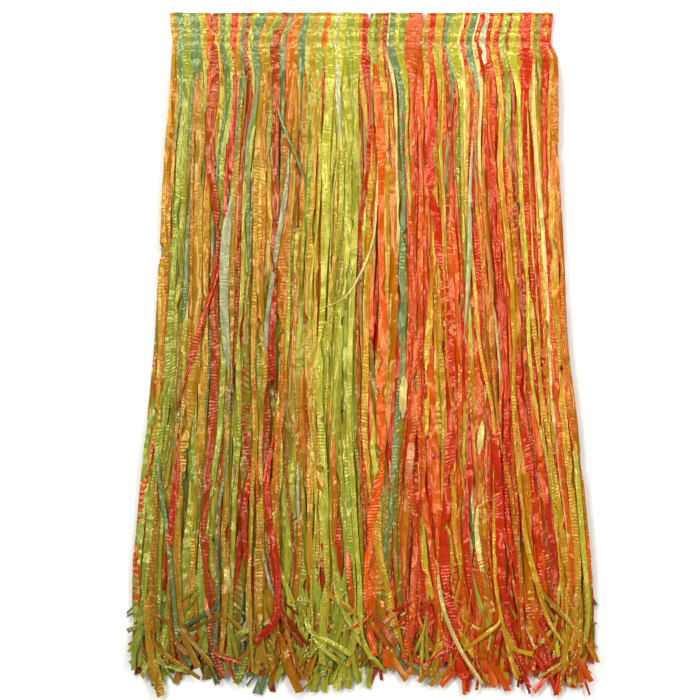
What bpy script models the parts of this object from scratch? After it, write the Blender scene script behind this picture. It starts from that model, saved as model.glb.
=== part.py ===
"""A grass skirt of plastic raffia, laid out flat with its front on its back.

Each strand is a strip of crinkled film, folded over at the waist. Two rows of stitching hold the
folded heads round a flat elastic, and the two ends hang down, one outside the elastic and one inside.
The heads are sewn on in hanks. A hank here is one solid: its stitched heading, which wraps the
elastic, with its strands growing out of the heading's lower edges.
+X is to the wearer's left as the front is seen, +Y towards the waist, +Z out of the front.
The origin is on the floor, in the middle of the laid-out skirt's outline.
"""

import math
import random

import bmesh
import bpy
import numpy as np
from mathutils import Vector

MM = 0.001

# Driving dimensions
WAIST_FLAT = 461 * MM  # waist across, laid flat
STRAND_CUT = 797 * MM  # usual strand, from the fold to the tip
HEADING = 19 * MM  # how far the folded heads stand above the elastic
ELASTIC_WIDTH = 19 * MM
ELASTIC_THICK = 1.2 * MM
BELOW_ELASTIC = 2 * MM  # how far the stitched heading runs on below the elastic
STRAND_THICK = 1.0 * MM
STRAND_WIDTH = (6.0 * MM, 9.6 * MM)  # narrowest and widest strand
HEADING_DEPTH = HEADING + ELASTIC_WIDTH + BELOW_ELASTIC

# Clearances and walls of the stitched heading
SEAM_GAP = 0.3 * MM
LEG_WALL = 1.0 * MM  # the inner half of the folded heads
OUTER_WALL = 1.2 * MM  # the outer half
RIDGE = 0.6 * MM  # how far every second head of the front stands proud
HEAD_GAP = 0.6 * MM  # groove between two heads
CREST_TAPER = 0.9 * MM  # how much each face of the heading draws in at the fold
CREST_DEPTH = 5 * MM  # and how far below the fold it starts to
CREST_SLOPE = 0.4 * MM  # how much lower the fold is at the inner face
CREST_UNEVEN = 0.9 * MM  # how much the heads differ in height
HEAD_SHARE = (0.55, 1.45)  # narrowest and widest head, as a share of the usual one
HEAD_LEAN = 0.22  # how far a head's top edge may shift aside, as a share of the usual head
NOTCH = 1.3 * MM  # how far a hank's top corner slants in
PANEL_GAP = 0.4 * MM  # between the back's inner half and the front's
PANEL_THICK = 2 * SEAM_GAP + ELASTIC_THICK + LEG_WALL + OUTER_WALL
MIDDLE = PANEL_THICK + PANEL_GAP / 2  # height of the axis that the skirt folds round at its sides
FOLD_AT = WAIST_FLAT / 2 - MIDDLE  # how far that axis is from the skirt's middle
HEADS_RUN = 2 * (FOLD_AT - 2 * SEAM_GAP)  # width of the straight run of folded heads

# The sides of the laid-out skirt
SIDES = (
    # below the fold, left side, right side
    (33 * MM, -229 * MM, 229 * MM),
    (57 * MM, -230 * MM, 237 * MM),
    (135 * MM, -238 * MM, 238 * MM),
    (215 * MM, -243 * MM, 243 * MM),
    (299 * MM, -248 * MM, 249 * MM),
    (385 * MM, -252 * MM, 256 * MM),
    (445 * MM, -261 * MM, 259 * MM),
    (541 * MM, -271 * MM, 265 * MM),
    (641 * MM, -275 * MM, 275 * MM),
    (716 * MM, -280 * MM, 282 * MM),
    (829 * MM, -286 * MM, 289 * MM),
)

# How the strands lie
LAYER_GAP = 0.35 * MM  # air between two strands that cross
ASIDE_GAP = 0.8 * MM  # least air between two strands of one layer
STRAIGHT_RUN = 42 * MM  # strands leave the stitching straight, and reach their layer, in this far
WAVE_RAMP = 70 * MM  # and reach their full spread and waviness this far on
RING_SHARES = (0, 0.12, 0.55, 1)  # where rings lie between the straight run and the turned end
OWN_WAVE = (0.5 * MM, 3.2 * MM)  # least and most that a strand waves to a side
OWN_PITCH = (180 * MM, 420 * MM)  # least and most length of such a wave
SHARED_WAVE = 3 * MM  # how far neighbours wave together
SHARED_PITCH = 420 * MM
SHARED_SHIFT = 5.0  # how far that wave runs on from the middle to a side, in radians
LEAST_TURN = 0.02  # in radians
CUT_SLANT = 0.6  # steepest slant of a cut end
SHORTEST_FLICK, LONGEST_FLICK = 50 * MM, 120 * MM  # length of the end that turns aside
FLICK_TURN = 30.0  # usual turn of a tip, in degrees
MOST_TURN = 62.0
CUT_SPREAD = 16 * MM  # how much the strands differ in length
LONGEST = 829 * MM  # the lowest tip, below the fold
LEAN_SPREAD = 9 * MM  # how far a strand drifts aside by its tip
OVERHANG = 3 * MM  # how far a strand may stand out past the sides
TRIES = 40  # draws of a strand's course, each calmer than the last
SEED = 30

# The hanks from left to right
FRONT_HANKS = (
    # name, folded heads, side of the skirt that it turns or 0
    ("front_hank_1", 8, -1),
    ("front_hank_2", 34, 0),
    ("front_hank_3", 12, 0),
    ("front_hank_4", 12, 0),
    ("front_hank_5", 14, 1),
)
BACK_HANKS = (
    # name, folded heads, side of the skirt that it turns or 0
    ("back_hank_1", 16, 0),
    ("back_hank_2", 16, 0),
    ("back_hank_3", 16, 0),
    ("back_hank_4", 16, 0),
    ("back_hank_5", 16, 0),
)

RAFFIA_GREEN = (0.60, 0.62, 0.12)
RAFFIA_ORANGE = (0.85, 0.30, 0.08)
ELASTIC_WHITE = (0.88, 0.88, 0.86)


def clear_scene():
    for old in list(bpy.data.objects):
        bpy.data.objects.remove(old)


def material(name, colour, roughness):
    made = bpy.data.materials.new(name)
    made.use_nodes = True
    shader = made.node_tree.nodes["Principled BSDF"]
    shader.inputs["Base Color"].default_value = (*colour, 1)
    shader.inputs["Roughness"].default_value = roughness
    shader.inputs["Metallic"].default_value = 0
    return made


def smooth(t):
    t = min(max(t, 0.0), 1.0)
    return t * t * (3 - 2 * t)


# The heights at which the layers lie in the heading


def heading_levels(front):
    """Heights of one panel's heading: outer face, inside of the outer half, of the inner half, inner face."""
    depths = {
        "outer": PANEL_THICK,
        "pocket_outer": PANEL_THICK - OUTER_WALL,
        "pocket_inner": LEG_WALL,
        "inner": 0.0,
    }
    out = 1 if front else -1
    return {face: MIDDLE + out * (PANEL_GAP / 2 + depth) for face, depth in depths.items()}


# The folded heads


def head_edges(hanks, seed):
    """For each hank, its heads from left to right, each with its edges at the stitching and at the fold."""
    draw = random.Random(seed)
    count = sum(number for _, number, _ in hanks)
    shares = [draw.uniform(*HEAD_SHARE) for _ in range(count)]
    unit = HEADS_RUN / sum(shares)
    x, at, made = -HEADS_RUN / 2, 0, {}
    for name, number, side in hanks:
        heads = []
        for k in range(number):
            width = shares[at] * unit
            heads.append({"left": x + HEAD_GAP / 2, "right": x + width - HEAD_GAP / 2, "number": at})
            x += width
            at += 1
        lean = [draw.uniform(-HEAD_LEAN, HEAD_LEAN) * unit for _ in range(number + 1)]
        lean[0] = NOTCH if side >= 0 else 0.0
        lean[-1] = -NOTCH if side <= 0 else 0.0
        for k, head in enumerate(heads):
            head["top_left"] = head["left"] + lean[k]
            head["top_right"] = head["right"] + lean[k + 1]
            head["rise"] = draw.uniform(-CREST_UNEVEN, 0.0)
        made[name] = heads
    return made


def side_turned(name):
    return {hank: side for hank, _, side in FRONT_HANKS + BACK_HANKS}[name]


# The way each strand runs


def side_x(column, drop):
    """Where a side of the skirt is, that far below the fold. The column is 1 for the left, 2 for the right."""
    return float(np.interp(drop, [row[0] for row in SIDES], [row[column] for row in SIDES]))


def strand_plan(draw, head, calm):
    """The sizes of a strand's course, which course() reads. Calm is 0 for a strand that lies straight."""
    turn = math.radians(min(max(draw.gauss(0, FLICK_TURN), -MOST_TURN), MOST_TURN)) * calm
    return {
        "x": (head["left"] + head["right"]) / 2,
        "root_width": head["right"] - head["left"],
        "width": draw.uniform(*STRAND_WIDTH),
        "length": min(draw.gauss(STRAND_CUT, CUT_SPREAD), LONGEST) - HEADING_DEPTH,
        "lean": draw.gauss(0, LEAN_SPREAD) * calm,
        "wave": draw.uniform(*OWN_WAVE) * calm,
        "pitch": draw.uniform(*OWN_PITCH),
        "phase": draw.uniform(0, 2 * math.pi),
        "turn": turn if abs(turn) > LEAST_TURN else LEAST_TURN,
        "flick": draw.uniform(SHORTEST_FLICK, LONGEST_FLICK),
        "slant": draw.uniform(-CUT_SLANT, CUT_SLANT),
    }


def course(plan, run):
    """Where a strand is after that run from the stitching."""
    length, flick, turn = plan["length"], plan["flick"], plan["turn"]
    into = max(run - (length - flick), 0.0)
    bend = turn * into / flick
    y = -HEADING_DEPTH - (run - into) - flick / turn * math.sin(bend)
    half = WAIST_FLAT / 2
    inset = plan["width"] / 2 * plan["x"] / half
    left, right = side_x(1, -y), side_x(2, -y)
    spread = (left + right) / 2 + (right - left) / 2 * plan["x"] / half - inset
    ramp = smooth((run - STRAIGHT_RUN) / WAVE_RAMP)
    drift = plan["lean"] * (run / length) ** 1.5
    drift += plan["wave"] * math.sin(2 * math.pi * run / plan["pitch"] + plan["phase"])
    drift += SHARED_WAVE * math.sin(2 * math.pi * run / SHARED_PITCH + SHARED_SHIFT * plan["x"] / half)
    x = plan["x"] + ramp * (spread - plan["x"] + drift) + flick / turn * (1 - math.cos(bend))
    return Vector((x, y))


def rings(plan):
    """A strand's rings in plan: middle point, half the way across, and the way along."""
    bend_at = plan["length"] - plan["flick"]
    body = [STRAIGHT_RUN + (bend_at - STRAIGHT_RUN) * share for share in RING_SHARES]
    runs = [0.0, *body, bend_at + 0.5 * plan["flick"], plan["length"]]
    points = [course(plan, run) for run in runs]
    made = []
    for k in range(len(runs)):
        before = (points[k] - points[max(k - 1, 0)]).normalized()
        after = (points[min(k + 1, len(runs) - 1)] - points[k]).normalized()
        along = Vector((0, -1)) if k < 2 else (before + after).normalized()
        half = (plan["root_width"] if k < 2 else plan["width"]) / 2
        made.append((points[k], Vector((-along.y, along.x)) * half, along))
    return made


# The layers: strands that would meet lie in different ones


def middle_line(plan, made):
    """A strand's middle line below the stitching, as segments with half their width."""
    points = [ring[0] for ring in made[1:]]
    points[-1] = points[-1] + made[-1][2] * abs(plan["slant"]) * plan["width"] / 2
    half = max(plan["width"], plan["root_width"]) / 2
    return np.array([(*a, *b, half) for a, b in zip(points, points[1:])])


def away(points, starts, ends):
    """How far each point is from each segment."""
    run = ends - starts
    share = ((points[:, None] - starts) * run).sum(2) / (run * run).sum(1)
    nearest = starts + np.clip(share, 0, 1)[:, :, None] * run
    return np.linalg.norm(points[:, None] - nearest, axis=2)


def turns_left(a, b, c):
    return (b[..., 0] - a[..., 0]) * (c[..., 1] - a[..., 1]) > (b[..., 1] - a[..., 1]) * (c[..., 0] - a[..., 0])


def clear_of(line, others):
    """Whether a strand's middle line keeps clear of the others'."""
    if not len(others):
        return True
    a, b, c, d = line[:, :2], line[:, 2:4], others[:, :2], others[:, 2:4]
    apart = np.minimum(away(a, c, d), away(b, c, d))
    apart = np.minimum(apart, np.minimum(away(c, a, b), away(d, a, b)).T)
    p, q, r, s = a[:, None], b[:, None], c[None], d[None]
    crosses = (turns_left(p, q, r) != turns_left(p, q, s)) & (turns_left(r, s, p) != turns_left(r, s, q))
    room = apart - line[:, None, 4] - others[None, :, 4] - ASIDE_GAP
    return not crosses.any() and room.min() > 0


def inside_sides(made):
    """Whether a strand lies between the skirt's sides."""
    for middle, half, _ in made[2:]:
        low, high = side_x(1, -middle.y) - OVERHANG, side_x(2, -middle.y) + OVERHANG
        reach = abs(half.x)
        if middle.x - reach < low or middle.x + reach > high or middle.y < -LONGEST:
            return False
    return True


def place_in(layers, draw, head):
    """Draws a strand's course, and adds it to the first layer with room. Returns its rings and layer."""
    for attempt in range(TRIES):
        plan = strand_plan(draw, head, 1 - attempt / (TRIES - 1))
        made = rings(plan)
        if not inside_sides(made) and attempt < TRIES - 1:
            continue
        line = middle_line(plan, made)
        for number, layer in enumerate(layers):
            if clear_of(line, np.concatenate(layer) if layer else ()):
                layer.append(line)
                return plan, made, number
        if attempt == TRIES - 1:
            layers.append([line])
            return plan, made, len(layers) - 1


def corners_of(plan, made, z):
    """The four corners of each ring: left low, left high, right high, right low."""
    corners = []
    for middle, half, along in made:
        slant = along * (plan["slant"] * plan["width"] / 2) if middle is made[-1][0] else Vector((0, 0))
        left, right = middle - half - slant, middle + half + slant
        high = z + STRAND_THICK
        corners.append(((*left, z), (*left, high), (*right, high), (*right, z)))
    return corners


# The solids


def heading_profile(level, x, top_x, rise, ridge):
    """The section of a heading at one edge of a head, seen from the side: an upside-down U round the elastic."""
    out = 1 if level["outer"] > level["inner"] else -1
    outer = level["outer"] + ridge
    bottom, pocket = -HEADING_DEPTH, -HEADING + SEAM_GAP
    return (
        (x, bottom, outer),
        (x, -CREST_DEPTH, outer),
        (top_x, rise, outer - out * CREST_TAPER),
        (top_x, rise - CREST_SLOPE, level["inner"] + out * CREST_TAPER),
        (x, bottom, level["inner"]),
        (x, bottom, level["pocket_inner"]),
        (x, pocket, level["pocket_inner"]),
        (x, pocket, level["pocket_outer"]),
        (x, bottom, level["pocket_outer"]),
    )


OUTER_EDGE, INNER_EDGE = 8, 4  # sides of the profile that are the two lower edges
FOLD_ANGLES = (-90, -45, 0, 45, 90)  # where the heading's section stands as it turns a side, in degrees


def round_fold(profile, side):
    """A heading's section at each angle as it turns the skirt's side, from the back to the front."""
    made = []
    for degrees in FOLD_ANGLES:
        angle = math.radians(degrees)
        turned = []
        for _, y, z in profile:
            radius = z - MIDDLE
            turned.append((side * (FOLD_AT + radius * math.cos(angle)), y, MIDDLE + radius * math.sin(angle)))
        made.append(turned)
    return made


def fold_head(side, where):
    """The head that a strand hangs from where the heading turns a side, above or below the middle."""
    edges = sorted((side * FOLD_AT, side * (FOLD_AT + PANEL_THICK * math.cos(math.pi / 4))))
    return {"left": edges[0], "right": edges[1], "number": (side, where)}


def heading(bm, heads, level, side):
    """Makes a hank's stitched heading, which turns a side of the skirt unless side is 0.

    Returns the faces that its strands grow from, by lower edge and head number.
    """
    profiles, owner = [], []
    for head in heads:
        front = level["outer"] > level["inner"]
        ridge = RIDGE if front and head["number"] % 2 == 0 else 0.0
        for edge in ("left", "right"):
            profiles.append(heading_profile(level, head[edge], head["top_" + edge], head["rise"], ridge))
        owner += [head["number"], None]
    owner.pop()
    if side:
        head, edge = (heads[0], "left") if side < 0 else (heads[-1], "right")
        section = heading_profile(level, head[edge], head["top_" + edge], head["rise"], 0.0)
        turn = round_fold(section, side)
        numbers = [(side, "below"), None, None, (side, "above"), None]
        if side < 0:
            profiles, owner = turn + profiles, numbers + owner
        else:
            profiles, owner = profiles + turn[::-1], owner + numbers[::-1]
    loops = [[bm.verts.new(point) for point in profile] for profile in profiles]
    sides = len(loops[0])
    roots = {}
    for a, b, number in zip(loops, loops[1:], owner):
        for k in range(sides):
            j = (k + 1) % sides
            face = bm.faces.new((a[k], a[j], b[j], b[k]))
            if number is not None and k in (OUTER_EDGE, INNER_EDGE):
                roots[k, number] = face
    bm.faces.new(loops[0])
    bm.faces.new(loops[-1])
    return roots


def grow(bm, face, corners):
    """Extrudes a root face along a strand's rings."""
    across = sorted(face.verts, key=lambda vertex: vertex.co.x)
    left, right = (sorted(pair, key=lambda vertex: vertex.co.z) for pair in (across[:2], across[2:]))
    places = (left[0], left[1], right[1], right[0])
    order = [places.index(vertex) for vertex in face.verts]
    for ring in corners[1:]:
        face = bmesh.ops.extrude_discrete_faces(bm, faces=[face])["faces"][0]
        for vertex, corner in zip(face.verts, order):
            vertex.co = ring[corner]


def finish_object(bm, name, look):
    bmesh.ops.recalc_face_normals(bm, faces=bm.faces)
    mesh = bpy.data.meshes.new(name)
    bm.to_mesh(mesh)
    bm.free()
    made = bpy.data.objects.new(name, mesh)
    bpy.context.scene.collection.objects.link(made)
    mesh.materials.append(look)
    return made


# The rows of strands, from the floor up
ROWS = (
    # panel, lower edge of the heading, a strand from every so many heads, layers
    ("back", OUTER_EDGE, 1, 4),
    ("back", INNER_EDGE, 2, 2),
    ("front", INNER_EDGE, 2, 2),
    ("front", OUTER_EDGE, 1, 4),
)


def lay_strands(panels):
    """Lays every strand. Returns {(panel, edge, head number): corners of its rings}."""
    below, made = 0, {}
    for place, (panel, edge, every, count) in enumerate(ROWS):
        draw = random.Random(SEED + 10 * place)
        heads = [h for hank in panels[panel]["hanks"].values() for h in hank if h["number"] % every == 0]
        if edge == OUTER_EDGE:
            heads += [fold_head(side, "above" if panel == "front" else "below") for side in (-1, 1)]
        draw.shuffle(heads)
        layers = [[] for _ in range(count)]
        placed = [(head, place_in(layers, draw, head)) for head in heads]
        for head, (plan, rings_made, number) in placed:
            z = (below + number) * (STRAND_THICK + LAYER_GAP)
            turns = isinstance(head["number"], tuple)
            made["front" if turns else panel, edge, head["number"]] = corners_of(plan, rings_made, z)
        below += len(layers)
    return made


def elastic(look, levels):
    """The flat elastic, a closed loop pressed flat, standing on its edge inside the headings."""
    back, front = levels["back"], levels["front"]
    low = (back["pocket_outer"] + back["pocket_inner"]) / 2
    high = (front["pocket_outer"] + front["pocket_inner"]) / 2
    radius = (high - low) / 2
    bm = bmesh.new()
    loops = []
    for offset in (ELASTIC_THICK / 2, -ELASTIC_THICK / 2):
        for y in (-HEADING, -HEADING - ELASTIC_WIDTH):
            loop = []
            for side in (1, -1):
                for degrees in FOLD_ANGLES:
                    angle = math.radians(degrees)
                    x = side * (FOLD_AT + (radius + offset) * math.cos(angle))
                    z = MIDDLE + side * (radius + offset) * math.sin(angle)
                    loop.append(bm.verts.new((x, y, z)))
            loops.append(loop)
    outer_top, outer_bottom, inner_top, inner_bottom = loops
    for a, b in (
        (outer_top, outer_bottom),
        (inner_bottom, inner_top),
        (inner_top, outer_top),
        (outer_bottom, inner_bottom),
    ):
        for k in range(len(a)):
            j = (k + 1) % len(a)
            bm.faces.new((a[k], a[j], b[j], b[k]))
    return finish_object(bm, "waist_elastic", look)


def centre_on_floor(objects):
    """Moves the meshes so that the origin is on the floor in the middle of the outline."""
    points = np.concatenate([[v.co for v in o.data.vertices] for o in objects])
    low, high = points.min(axis=0), points.max(axis=0)
    for o in objects:
        for v in o.data.vertices:
            v.co -= Vector(((low[0] + high[0]) / 2, (low[1] + high[1]) / 2, low[2]))


def build():
    clear_scene()
    green = material("raffia_green", RAFFIA_GREEN, 0.35)
    orange = material("raffia_orange", RAFFIA_ORANGE, 0.35)
    white = material("elastic_white", ELASTIC_WHITE, 0.8)
    panels = {
        "front": {"level": heading_levels(True), "hanks": head_edges(FRONT_HANKS, SEED)},
        "back": {"level": heading_levels(False), "hanks": head_edges(BACK_HANKS, SEED + 1)},
    }
    strands = lay_strands(panels)
    made = [elastic(white, {name: panel["level"] for name, panel in panels.items()})]
    for panel_name, panel in panels.items():
        for name, heads in panel["hanks"].items():
            bm = bmesh.new()
            roots = heading(bm, heads, panel["level"], side_turned(name))
            for (edge, number), face in roots.items():
                if (panel_name, edge, number) in strands:
                    grow(bm, face, strands[panel_name, edge, number])
            made.append(finish_object(bm, name, orange if name[-1] in "345" else green))
    centre_on_floor(made)


build()
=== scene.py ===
import math

import bpy
import numpy as np
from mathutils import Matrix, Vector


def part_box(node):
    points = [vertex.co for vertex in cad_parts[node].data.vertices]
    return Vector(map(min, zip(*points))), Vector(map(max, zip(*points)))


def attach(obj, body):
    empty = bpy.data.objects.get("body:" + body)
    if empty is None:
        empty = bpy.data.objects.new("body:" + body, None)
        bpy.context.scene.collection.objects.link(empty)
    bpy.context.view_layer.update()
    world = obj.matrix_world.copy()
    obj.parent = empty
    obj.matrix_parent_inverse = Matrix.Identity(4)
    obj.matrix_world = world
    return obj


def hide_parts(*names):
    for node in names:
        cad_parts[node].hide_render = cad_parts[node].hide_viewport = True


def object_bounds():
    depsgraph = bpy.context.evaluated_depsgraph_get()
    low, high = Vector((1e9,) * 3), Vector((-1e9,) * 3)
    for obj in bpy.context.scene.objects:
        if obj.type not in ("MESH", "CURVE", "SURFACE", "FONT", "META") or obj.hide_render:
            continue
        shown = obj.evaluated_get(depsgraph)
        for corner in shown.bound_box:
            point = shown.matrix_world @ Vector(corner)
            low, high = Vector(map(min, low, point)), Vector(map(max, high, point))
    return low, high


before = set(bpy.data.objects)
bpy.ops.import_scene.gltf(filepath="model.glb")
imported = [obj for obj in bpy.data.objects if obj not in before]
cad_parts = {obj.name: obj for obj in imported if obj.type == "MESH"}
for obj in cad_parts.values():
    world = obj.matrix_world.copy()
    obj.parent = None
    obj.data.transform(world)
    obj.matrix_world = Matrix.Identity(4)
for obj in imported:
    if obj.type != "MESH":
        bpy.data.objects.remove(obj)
solids_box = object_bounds()

# The waist elastic
# A flat woven band of white elastic, joined into a loop and pressed flat with the skirt. The strands are
# folded over it, and their two rows of stitching catch its edges. It shows only end on, at the sides.
MM = 0.001
ELASTIC_WIDTH = 19 * MM
ELASTIC_THICK = 1.1 * MM
ELASTIC_BELOW_FOLD = 19 * MM
ELASTIC_EDGE = 0.5 * MM  # this much of each edge is rounded off
ELASTIC_RIB = 2.4 * MM
BANDS_IN_UNIT = 3.14  # of a wave texture, about
TURN_CORNERS, RUN_CORNERS = 9, 60  # of the band's route, in a turn at a side and in a straight run
elastic_low, elastic_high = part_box("waist_elastic")
waist_x = (elastic_low[0] + elastic_high[0]) / 2
fold_y = elastic_high[1] + ELASTIC_BELOW_FOLD
fold_z = (elastic_low[2] + elastic_high[2]) / 2
turn_radius = (elastic_high[2] - elastic_low[2] - ELASTIC_THICK) / 2
turn_x = (elastic_high[0] - elastic_low[0]) / 2 - turn_radius - ELASTIC_THICK / 2


def mesh_piece(name, points, faces, material, runs=None, dyes=None, rings=None):
    """A mesh object. runs are each point's places along and across its strip, in metres, and rings tell
    which row of its strip it is in. Edges within one row are sharp, and a ring of -1 has none.
    """
    mesh = bpy.data.meshes.new(name)
    mesh.from_pydata(np.asarray(points).tolist(), [], np.asarray(faces).tolist())
    mesh.polygons.foreach_set("use_smooth", [True] * len(mesh.polygons))
    corner = np.empty(len(mesh.loops), int)
    mesh.loops.foreach_get("vertex_index", corner)
    if runs is not None:
        layer = mesh.uv_layers.new(name="film_run")
        layer.data.foreach_set("uv", np.asarray(runs)[corner].ravel())
    if dyes is not None:
        colour = mesh.color_attributes.new("dye", "FLOAT_COLOR", "POINT")
        colour.data.foreach_set("color", np.column_stack([dyes, np.ones(len(dyes))]).ravel())
    if rings is not None:
        ends = np.empty(2 * len(mesh.edges), int)
        mesh.edges.foreach_get("vertices", ends)
        ends = np.asarray(rings)[ends.reshape(-1, 2)]
        mesh.edges.foreach_set("use_edge_sharp", (ends[:, 0] == ends[:, 1]) & (ends[:, 0] >= 0))
    mesh.materials.append(material)
    mesh.update()
    piece = bpy.data.objects.new(name, mesh)
    bpy.context.scene.collection.objects.link(piece)
    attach(piece, "root")
    return piece


def elastic_loop():
    """Points and faces of the band: a rounded flat section run round the flattened loop."""
    route = []
    for side in (1, -1):
        for angle in np.linspace(-90, 90, TURN_CORNERS):
            a = math.radians(angle)
            outward = np.array((side * math.cos(a), 0, side * math.sin(a)))
            route.append((np.array((waist_x + side * turn_x, 0, fold_z)) + turn_radius * outward, outward))
        for share in np.linspace(0, 1, RUN_CORNERS)[1:-1]:
            middle = np.array((waist_x + side * turn_x * (1 - 2 * share), 0, fold_z + side * turn_radius))
            route.append((middle, np.array((0, 0, side))))
    half, thick = ELASTIC_WIDTH / 2, ELASTIC_THICK / 2
    section = ((-half, 0.4), (-half + ELASTIC_EDGE, 1), (0, 1), (half - ELASTIC_EDGE, 1), (half, 0.4))
    section += tuple((across, -out) for across, out in section[::-1])
    centre_y = (elastic_low[1] + elastic_high[1]) / 2
    points, runs, run = [], [], 0.0
    for k, (middle, outward) in enumerate(route):
        run += np.linalg.norm(middle - route[k - 1][0]) if k else 0
        for across, out in section:
            points.append(middle + outward * thick * out + np.array((0, centre_y + across, 0)))
            runs.append((run, across))
    count, faces = len(section), []
    for k in range(len(route)):
        for j in range(count):
            a, b = k * count, (k + 1) % len(route) * count
            faces.append((a + j, a + (j + 1) % count, b + (j + 1) % count, b + j))
    return points, faces, runs


def plain_finish(name, roughness):
    """A new material. Returns it with its nodes, links and Principled shader."""
    material = bpy.data.materials.new(name)
    material.use_nodes = True
    nodes, links = material.node_tree.nodes, material.node_tree.links
    shader = nodes["Principled BSDF"]
    shader.inputs["Roughness"].default_value = roughness
    return material, nodes, links, shader


def strip_places(nodes, links, along, across):
    """The places in a strip, stretched so that one unit is that far along and across it."""
    run = nodes.new("ShaderNodeUVMap")
    run.uv_map = "film_run"
    stretch = nodes.new("ShaderNodeMapping")
    stretch.inputs["Scale"].default_value = (1 / along, 1 / across, 1)
    links.new(run.outputs["UV"], stretch.inputs["Vector"])
    return stretch.outputs["Vector"]


elastic_white, nodes, links, shader = plain_finish("woven_elastic", 0.8)
shader.inputs["Base Color"].default_value = (0.86, 0.86, 0.83, 1)
shader.inputs["Sheen Weight"].default_value = 0.2
ribs = nodes.new("ShaderNodeTexWave")
ribs.inputs["Scale"].default_value = 1
ribs.inputs["Distortion"].default_value = 0.4
rib_places = strip_places(nodes, links, ELASTIC_RIB * BANDS_IN_UNIT, ELASTIC_RIB)
links.new(rib_places, ribs.inputs["Vector"])
rib_relief = nodes.new("ShaderNodeBump")
rib_relief.inputs["Distance"].default_value = 0.3 * MM
links.new(ribs.outputs["Fac"], rib_relief.inputs["Height"])
links.new(rib_relief.outputs["Normal"], shader.inputs["Normal"])
band_points, band_faces, band_runs = elastic_loop()
elastic = mesh_piece("elastic_band", band_points, band_faces, elastic_white, band_runs)
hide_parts("waist_elastic")

# The raffia film
# Strands are split lengthwise from thin dyed film that was crinkled in the making: fine ripples run
# across it, and it keeps folds and creases along its length. It is glossy and lets some light through.
RIPPLE = 4 * MM  # from one ripple to the next
CREASE = 0.1  # height of the creases along a strip, as a share of its width
DENT_EVERY, DENT_MM, DENT_DEPTH = 26 * MM, (3, 12), 1.0 * MM  # the dents' distance, reach and usual depth
FLAP_LIFT = 0.5 * MM  # an edge that is folded over lies so far above the film
STITCHED_FLAT = (35 * MM, 90 * MM)  # the stitching keeps the film flatter, less so from here on to there
LEAST_SLACK = 0.3
OFF_FLOOR = 0.1 * MM
SHADE_X = (-120 * MM, 20 * MM)
LEFT_TONE_AND_PAINTED_SHADE = (
    # how much darker the film is at those two places, the drops between which that sets in, and the share of it
    # that is there above: it is darker at the left, painted shade darkens it towards the hem where the strands
    # lie thickest, and the last row is a painted contact shadow
    ((0.14, 0), (30 * MM, 90 * MM), 0.5),
    ((0.16, 0.06), (100 * MM, 600 * MM), 0),
    ((0.16, 0.08), (620 * MM, 780 * MM), 0),
)
DYES = {
    # dyed film in daylight, as red, green and blue of 255
    "lime": (184, 180, 66),
    "leaf": (158, 168, 66),
    "olive": (146, 124, 38),
    "grey_green": (118, 142, 92),
    "gold": (204, 156, 56),
    "amber": (196, 120, 36),
    "orange": (218, 92, 26),
    "red": (200, 46, 6),
    "rust": (172, 70, 26),
    # pale straw film, and also the colour of painted highlights where lime and gold film twists to the light
    "straw": (232, 212, 136),
    # a painted highlight: the pale salmon that red film shows where it twists to the light
    "painted_red_highlight": (230, 150, 108),
    "silver": (186, 190, 150),
}


def film_colour(dye):
    """A dye as the linear colour that the shader takes."""
    levels = np.array(DYES[dye]) / 255  # the next line undoes the curve of such colours
    return np.where(levels < 0.04045, levels / 12.92, ((levels + 0.055) / 1.055) ** 2.4)


def grain(nodes, links, along, across, detail):
    """Uneven marks of that length and width in the film."""
    texture = nodes.new("ShaderNodeTexNoise")
    texture.inputs["Scale"].default_value = 1
    texture.inputs["Detail"].default_value = detail
    links.new(strip_places(nodes, links, along, across), texture.inputs["Vector"])
    return texture.outputs["Fac"]


def spread(nodes, links, value, low, high):
    """Maps the middle of a grain's range to low and high."""
    ranged = nodes.new("ShaderNodeMapRange")
    ranged.inputs["From Min"].default_value = 0.3
    ranged.inputs["From Max"].default_value = 0.7
    ranged.inputs["To Min"].default_value = low
    ranged.inputs["To Max"].default_value = high
    links.new(value, ranged.inputs["Value"])
    return ranged.outputs["Result"]


raffia, nodes, links, shader = plain_finish("raffia_film", 0.3)
dye = nodes.new("ShaderNodeVertexColor")
dye.layer_name = "dye"
depth = nodes.new("ShaderNodeHueSaturation")
depth.inputs["Saturation"].default_value = 1.05
links.new(dye.outputs["Color"], depth.inputs["Color"])
uneven_dye = grain(nodes, links, 14 * MM, 3 * MM, 3)
links.new(spread(nodes, links, uneven_dye, 0.75, 1.2), depth.inputs["Value"])
links.new(depth.outputs["Color"], shader.inputs["Base Color"])
dull_marks = grain(nodes, links, 30 * MM, 3 * MM, 2)
links.new(spread(nodes, links, dull_marks, 0.08, 0.26), shader.inputs["Roughness"])
shader.inputs["Metallic"].default_value = 0.08
shader.inputs["Specular IOR Level"].default_value = 0.5
shader.inputs["Specular Tint"].default_value = (1, 0.91, 0.7, 1)
ripples = nodes.new("ShaderNodeBump")
ripples.inputs["Strength"].default_value = 0.5
ripples.inputs["Distance"].default_value = 0.35 * MM
links.new(grain(nodes, links, 0.5 * RIPPLE, 7 * MM, 2), ripples.inputs["Height"])
lines = nodes.new("ShaderNodeBump")
lines.inputs["Strength"].default_value = 0.7
lines.inputs["Distance"].default_value = 0.4 * MM
links.new(grain(nodes, links, 22 * MM, 1.4 * MM, 2), lines.inputs["Height"])
links.new(ripples.outputs["Normal"], lines.inputs["Normal"])
links.new(lines.outputs["Normal"], shader.inputs["Normal"])
glow = nodes.new("ShaderNodeBsdfTranslucent")
links.new(depth.outputs["Color"], glow.inputs["Color"])
film = nodes.new("ShaderNodeMixShader")
film.inputs["Fac"].default_value = 0.2
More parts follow.
